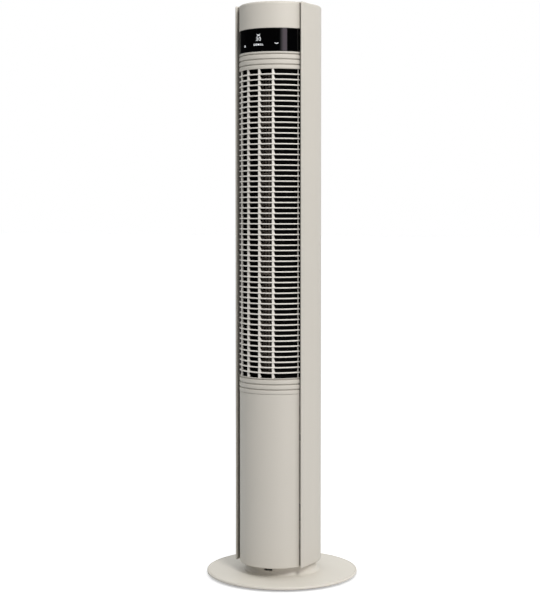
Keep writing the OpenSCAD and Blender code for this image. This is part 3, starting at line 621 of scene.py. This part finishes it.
def cup_ring(shrink, corner, y=None, sunk=0.0):
    """Rounded outline of the recess, at depth y or, without one, just under the rear cover's face."""
    width, height = CUP_W - CUP_GAP - 2 * shrink, CUP_H - CUP_GAP - 2 * shrink
    box = rounded_box(width, height, corner, 5)
    points = []
    for (u, v), (next_u, _) in zip(box, box[1:] + box[:1]):
        points.append((u, v))
        if abs(next_u - u) > CUP_W / 2:
            points += [(between, v) for between in spaced(u, next_u, 14)[1:-1]]
    depths = [math.sqrt((REAR_R - 0.25) ** 2 - u * u) - sunk if y is None else y for u, _ in points]
    return [(u, depth, CUP_Z + CUP_H / 2 + v) for (u, v), depth in zip(points, depths)]


def make_recess():
    """Carrying recess: a rounded box let into the back."""
    floor_y = CUP_BACK + CUP_WALL
    cup = Solid()
    outside = [cup_ring(0, 1.2, CUP_BACK), cup_ring(0, 1.2), cup_ring(1.0, 2.0)]
    inside = [cup_ring(1.8, 4.5, sunk=0.8), cup_ring(1.8, 4.5, floor_y + 5),
              cup_ring(2.3, 4.5, floor_y + 2.5), cup_ring(3.6, 4.0, floor_y + 0.8), cup_ring(6.0, 3.0, floor_y)]
    cup.tube(outside + inside)
    cup.make("carry_recess", "column", "recess", ["handle_cup"])


make_side("side_right", False, "side_panel_right")
make_side("side_left", True, "side_panel_left")
make_rear_shell()
make_recess()


# ------------------------------------------------------------------ base
def make_base_top():
    """Slightly domed disc with a shallow groove inside its rounded rim."""
    profile = [(BASE_BORE, FOOT_Z), (NECK_R + 10, FOOT_Z), (100, FOOT_Z - 0.28), (BASE_R - 4, RIM_TOP + 0.02)]
    profile += [(BASE_R - 3.3, RIM_TOP + 0.01), (BASE_R - 3.1, RIM_TOP - 0.6), (BASE_R - 2.3, RIM_TOP - 0.6),
                (BASE_R - 2.1, RIM_TOP)]
    for angle in spaced(90, 0, 5):
        dr, dz = polar(RIM_ROUND, angle)
        profile.append((BASE_R - RIM_ROUND + dr, RIM_TOP - RIM_ROUND + dz))
    profile += [(BASE_R, RIM_LOW + 0.7), (BASE_R - 0.2, RIM_LOW + 0.2), (BASE_R - 0.7, RIM_LOW),
                (BASE_R - 2, RIM_LOW), (BASE_R - 2, RIM_TOP - 1.8)]
    profile += [(NECK_R, FOOT_Z - COVER_WALL), (BASE_BORE, FOOT_Z - COVER_WALL)]
    cover = Solid()
    cover.lathe(profile, 256)
    cover.make("base_top", "base", "base_shell", ["base_cover"])


def make_base_underside():
    tray = Solid()
    tray.lathe([(TRAY_BORE, TRAY_LOW), (TRAY_R - 0.6, TRAY_LOW), (TRAY_R, TRAY_LOW + 0.4),
                (TRAY_R, TRAY_HIGH - 0.4), (TRAY_R - 0.4, TRAY_HIGH), (TRAY_BORE, TRAY_HIGH)], 256)
    tray.make("base_underside", "base", "base_shell", ["base_tray"])


def make_neck():
    """Neck with a concave foot, a flat top and a small slot in its front."""
    skin = [(NECK_R + FLARE_R - 0.6, FOOT_Z + 0.05)]
    for angle in (265, 252, 240, 225, 210, 195, 180):
        dr, dz = polar(FLARE_R, angle)
        skin.append((NECK_R + FLARE_R + dr, FOOT_Z + FLARE_R + 0.6 + dz))
    skin += [(NECK_R, SLOT_LOW), (NECK_R, SLOT_HIGH), (NECK_R, COLLAR_TOP - 0.7),
             (NECK_R - 0.2, COLLAR_TOP - 0.2), (NECK_R - 0.7, COLLAR_TOP)]
    angles = sorted(set(spaced(0, 360, 180) + [SLOT_AT - SLOT_HALF, SLOT_AT + SLOT_HALF]))
    outer = [[(*polar(r, a), z) for a in angles] for r, z in skin]
    inner = [[(*polar(NECK_R - WALL, a), max(z, FOOT_Z + 0.1)) for a in angles] for _, z in skin]
    missing = np.zeros((len(skin) - 1, len(angles) - 1), bool)
    for r in range(len(skin) - 1):
        z = (skin[r][1] + skin[r + 1][1]) / 2
        for c in range(len(angles) - 1):
            a = (angles[c] + angles[c + 1]) / 2
            missing[r, c] = SLOT_LOW < z < SLOT_HIGH and abs(a - SLOT_AT) < SLOT_HALF
    neck = Solid()
    neck.sheet(outer, inner, missing)
    low, edge = COLLAR_TOP - COLLAR_WALL, NECK_R - 1.2
    neck.lathe([(COLLAR_BORE, low), (edge, low), (edge, COLLAR_TOP), (COLLAR_BORE, COLLAR_TOP)], 180)
    neck.make("neck", "base", "base_shell", ["swivel_collar"])


def make_slot_shade_pane():
    """Dark pane just behind the neck's slot: painted shade that keeps the slot black."""
    half = SLOT_HALF + 1.2
    angles = spaced(SLOT_AT - half, SLOT_AT + half, 12)
    heights = (SLOT_LOW - 0.9, SLOT_LOW - 0.3, SLOT_HIGH, SLOT_HIGH + 0.25)
    outer, inner = [[[(*polar(r, a), z) for a in angles] for z in heights]
                    for r in (NECK_R - WALL + 0.4, NECK_R - WALL - 1.0)]
    pane = Solid()
    pane.sheet(outer, inner)
    pane.make("slot_shade_pane", "base", "display_gloss")


make_base_top()
make_base_underside()
make_neck()
make_slot_shade_pane()


# ------------------------------------------------------------------ lit signs on the display
DISPLAY_MIDDLE = (CAP_BOTTOM + DISPLAY_BOTTOM) / 2
SIGN_R, SIGN_HIGH, SIDE_SIGN = FRONT_R - 0.12, 0.22, 28.2
THIN, DIGIT, BLADE, SWING = 0.6, 0.62, 0.65, 0.7  # widths of the lines


def stroke(solid, points, width, at=0.0):
    """Thin raised line through points (along the arc, above the display's middle), round an angle."""
    rings = []
    for k, (u, v) in enumerate(points):
        before, after = points[max(0, k - 1)], points[min(len(points) - 1, k + 1)]
        du, dv = after[0] - before[0], after[1] - before[1]
        half = width / 2 / (math.hypot(du, dv) or 1)
        left, right = (u - dv * half, v + du * half), (u + dv * half, v - du * half)
        rings.append([front(r, at + math.degrees(along / FRONT_R), DISPLAY_MIDDLE + up)
                      for r, (along, up) in ((SIGN_R, right), (SIGN_R + SIGN_HIGH, right),
                                             (SIGN_R + SIGN_HIGH, left), (SIGN_R, left))])
    solid.tube(rings)


def arc_points(x, z, r, start, end, steps, squash=1.0):
    """Points along an arc round (x, z); squash scales its height."""
    return [(x + dx, z + squash * dz) for dx, dz in (polar(r, angle) for angle in spaced(start, end, steps))]


def fan_sign(solid):
    """Two crossed blades."""
    for side in (-1, 1):
        stroke(solid, [(-3.6 * side, 6.7), (-1.2 * side, 8.5), (1.2 * side, 9.7), (3.6 * side, 11.5)], BLADE)


def two_digits(solid):
    two = [(-5.0, 3.5), (-4.1, 4.5), (-2.5, 4.5), (-1.5, 3.3), (-1.8, 2.1), (-5.0, -1.1), (-1.3, -1.1)]
    stroke(solid, two, DIGIT)
    stroke(solid, arc_points(2.9, 1.7, 2.1, 0, 360, 20, 1.35), DIGIT)


def small_signs(solid):
    """Row of five: an open ring, a ring, a star, a triangle and a corner."""
    z = -8.9
    stroke(solid, arc_points(-9.0, z, 1.7, 40, 320, 12), THIN)
    stroke(solid, arc_points(-4.6, z, 1.6, 0, 360, 14), THIN)
    for angle in (0, 60, 120):
        x, rise = polar(1.9, angle)
        stroke(solid, [(-x, z - rise), (x, z + rise)], THIN)
    stroke(solid, [(3.3, z - 1.5), (4.7, z + 1.7), (6.1, z - 1.5), (3.3, z - 1.5)], THIN)
    stroke(solid, [(7.9, z + 1.6), (7.9, z - 1.4), (10.4, z - 1.4)], THIN)


def make_signs():
    signs = Solid()
    fan_sign(signs)
    two_digits(signs)
    small_signs(signs)
    # power sign at the left, swing sign at the right
    stroke(signs, arc_points(0, -10.3, 1.7, 130, 410, 16), THIN, at=-SIDE_SIGN)
    stroke(signs, [(0, -9.9), (0, -7.1)], THIN, at=-SIDE_SIGN)
    stroke(signs, arc_points(0, -4.3, 4.2, 215, 325, 12, 0.8), SWING, at=SIDE_SIGN)
    signs.make("lit_signs", "column", "display_gloss", material=LIT, sharp=30)


make_signs()


# ------------------------------------------------------------------ stage
FLOOR_HALF = 30.0  # metres
FLOOR_GLOW = 0.42


def floor_material():
    """Pale floor with a glow that only the camera sees, so that it reads as white and lights nothing."""
    material = surface("floor", (0.86, 0.86, 0.86), 0.8, grain=300, bump=0.02, tone=0.004, patch=2,
                       specular=0.1)
    tree = material.node_tree
    shader = tree.nodes["Principled BSDF"]
    shader.inputs["Emission Color"].default_value = (1, 1, 1, 1)
    level = node(tree, "ShaderNodeMath", operation="MULTIPLY")
    level.inputs[1].default_value = FLOOR_GLOW
    tree.links.new(node(tree, "ShaderNodeLightPath").outputs["Is Camera Ray"], level.inputs[0])
    tree.links.new(level.outputs[0], shader.inputs["Emission Strength"])
    return material


def make_floor():
    mesh = bpy.data.meshes.new("floor")
    corners = [(x * FLOOR_HALF, y * FLOOR_HALF, 0) for x, y in ((-1, -1), (1, -1), (1, 1), (-1, 1))]
    mesh.from_pydata(corners, [], [[0, 1, 2, 3]])
    mesh.update()
    mesh.shade_smooth()
    mesh.materials.append(floor_material())
    obj = bpy.data.objects.new("floor", mesh)
    SCENE.collection.objects.link(obj)


def studio_world(overhead, behind, dark, strip_colour, strip, strip_from, strip_to):
    """Even light from overhead, white behind, and a dark room in front with one tall soft strip in it."""
    world = bpy.data.worlds.new("studio")
    world.use_nodes = True
    tree = world.node_tree
    link = tree.links.new
    back = tree.nodes["Background"]
    coords = node(tree, "ShaderNodeTexCoord")
    xyz = node(tree, "ShaderNodeSeparateXYZ")
    link(coords.outputs["Generated"], xyz.inputs[0])

    def math_node(operation, *values):
        made = node(tree, "ShaderNodeMath", operation=operation)
        for k, value in enumerate(values):
            if isinstance(value, (int, float)):
                made.inputs[k].default_value = value
            else:
                link(value, made.inputs[k])
        return made.outputs[0]

    def ramp(value, low, high, out_low=0.0, out_high=1.0):
        made = node(tree, "ShaderNodeMapRange", interpolation_type="SMOOTHSTEP")
        ends = {"From Min": low, "From Max": high, "To Min": out_low, "To Max": out_high}
        for name, level in ends.items():
            made.inputs[name].default_value = level
        link(value, made.inputs["Value"])
        return made.outputs["Result"]

    azimuth = math_node("ARCTAN2", xyz.outputs["X"], math_node("MULTIPLY", xyz.outputs["Y"], -1.0))
    rear_level = ramp(math_node("ABSOLUTE", azimuth), math.radians(128), math.radians(165), dark, behind)
    high = ramp(xyz.outputs["Z"], 0.26, 0.42)
    low = math_node("SUBTRACT", 1.0, high)
    level = math_node("ADD", math_node("MULTIPLY", rear_level, low), math_node("MULTIPLY", high, overhead))
    inside = math_node("MULTIPLY", ramp(azimuth, *[math.radians(v) for v in strip_from]),
                       ramp(azimuth, *[math.radians(v) for v in strip_to], 1.0, 0.0))
    in_strip = math_node("MULTIPLY", inside, low)
    total = math_node("ADD", level, math_node("MULTIPLY", in_strip, strip))
    tinted = node(tree, "ShaderNodeMix", data_type="RGBA", blend_type="MIX")
    tinted.inputs["A"].default_value = (0.985, 1.0, 1.01, 1)
    tinted.inputs["B"].default_value = strip_colour + (1,)
    link(in_strip, tinted.inputs["Factor"])

    # the camera itself sees plain white
    seen = node(tree, "ShaderNodeLightPath").outputs["Is Camera Ray"]
    colour = node(tree, "ShaderNodeMix", data_type="RGBA", blend_type="MIX")
    colour.inputs["B"].default_value = (1, 1, 1, 1)
    link(seen, colour.inputs["Factor"])
    link(tinted.outputs["Result"], colour.inputs["A"])
    link(colour.outputs["Result"], back.inputs["Color"])
    hidden = math_node("SUBTRACT", 1.0, seen)
    link(math_node("ADD", math_node("MULTIPLY", total, hidden), seen), back.inputs["Strength"])
    SCENE.world = world


def aim(lamp, azimuth, elevation, distance, target):
    """Places a lamp round a target, azimuth 0 being in front, and points it there."""
    cos, sin = turn(azimuth)
    level, up = turn(elevation)
    lamp.location = Vector(target) + distance * Vector((sin * level, -cos * level, up))
    lamp.rotation_mode = "QUATERNION"
    lamp.rotation_quaternion = (Vector(target) - lamp.location).to_track_quat("-Z", "Y")
    SCENE.collection.objects.link(lamp)


def sun(name, azimuth, elevation, strength, spread, colour):
    data = bpy.data.lights.new(name, "SUN")
    data.energy, data.angle, data.color = strength, math.radians(spread), colour
    lamp = bpy.data.objects.new(name, data)
    aim(lamp, azimuth, elevation, 5.0, (0, 0, 0.6))
    return lamp


def area(name, azimuth, elevation, distance, width, height, power, target_z, colour=(1, 1, 1)):
    """Soft rectangular light, left out of reflections."""
    data = bpy.data.lights.new(name, "AREA")
    data.shape = "RECTANGLE"
    data.size, data.size_y = width, height
    data.energy, data.color = power, colour
    lamp = bpy.data.objects.new(name, data)
    lamp.visible_glossy = False
    aim(lamp, azimuth, elevation, distance, (0, 0, target_z))


def light_all_but_the_floor(lamp):
    """Keeps the lamp's cast shadow off the pale floor."""
    lit = bpy.data.collections.new("key_lit")
    for obj in SCENE.objects:
        if obj.type == "MESH" and obj.name != "floor":
            lit.objects.link(obj)
    lamp.light_linking.receiver_collection = lit


make_floor()
studio_world(overhead=0.76, behind=1.0, dark=0.015, strip_colour=(1.0, 0.84, 0.96), strip=2.3,
             strip_from=(36, 52), strip_to=(59, 61))
key = sun("key", azimuth=54, elevation=41, strength=1.4, spread=14, colour=(1.0, 0.975, 0.95))
area("side_fill", azimuth=104, elevation=20, distance=2.2, width=1.2, height=2.4, power=11.0, target_z=0.65,
     colour=(1.0, 0.99, 0.97))
area("left_fill", azimuth=-112, elevation=10, distance=2.2, width=1.2, height=2.4, power=9.0, target_z=0.7)
area("upper_fill", azimuth=38, elevation=34, distance=1.1, width=0.8, height=0.6, power=4.2, target_z=1.08,
     colour=(1.0, 0.985, 0.965))
light_all_but_the_floor(key)


# ------------------------------------------------------------------ camera
# it stands CAMERA_DISTANCE from the axis and CAMERA_ASIDE to its left, and looks slightly down
CAMERA_AZIMUTH, CAMERA_PITCH = 28.94, 1.669
CAMERA_DISTANCE, CAMERA_ASIDE, CAMERA_Z = 2862.0, 23.97, 733.8
SENSOR, LENS = 36.0, 86.01


def make_camera():
    data = bpy.data.cameras.new("camera")
    data.sensor_width, data.sensor_fit, data.lens = SENSOR, "AUTO", LENS
    data.shift_y = -0.085
    data.clip_start, data.clip_end = 0.1, 60
    camera = bpy.data.objects.new("camera", data)
    SCENE.collection.objects.link(camera)
    cos, sin = turn(CAMERA_AZIMUTH)
    level, down = turn(CAMERA_PITCH)
    camera.location = ((CAMERA_DISTANCE * sin - CAMERA_ASIDE * cos) * MM,
                       (-CAMERA_DISTANCE * cos - CAMERA_ASIDE * sin) * MM, CAMERA_Z * MM)
    camera.rotation_mode = "QUATERNION"
    camera.rotation_quaternion = Vector((-sin * level, cos * level, -down)).to_track_quat("-Z", "Y")
    SCENE.camera = camera


make_camera()
SCENE.view_settings.view_transform = "Standard"
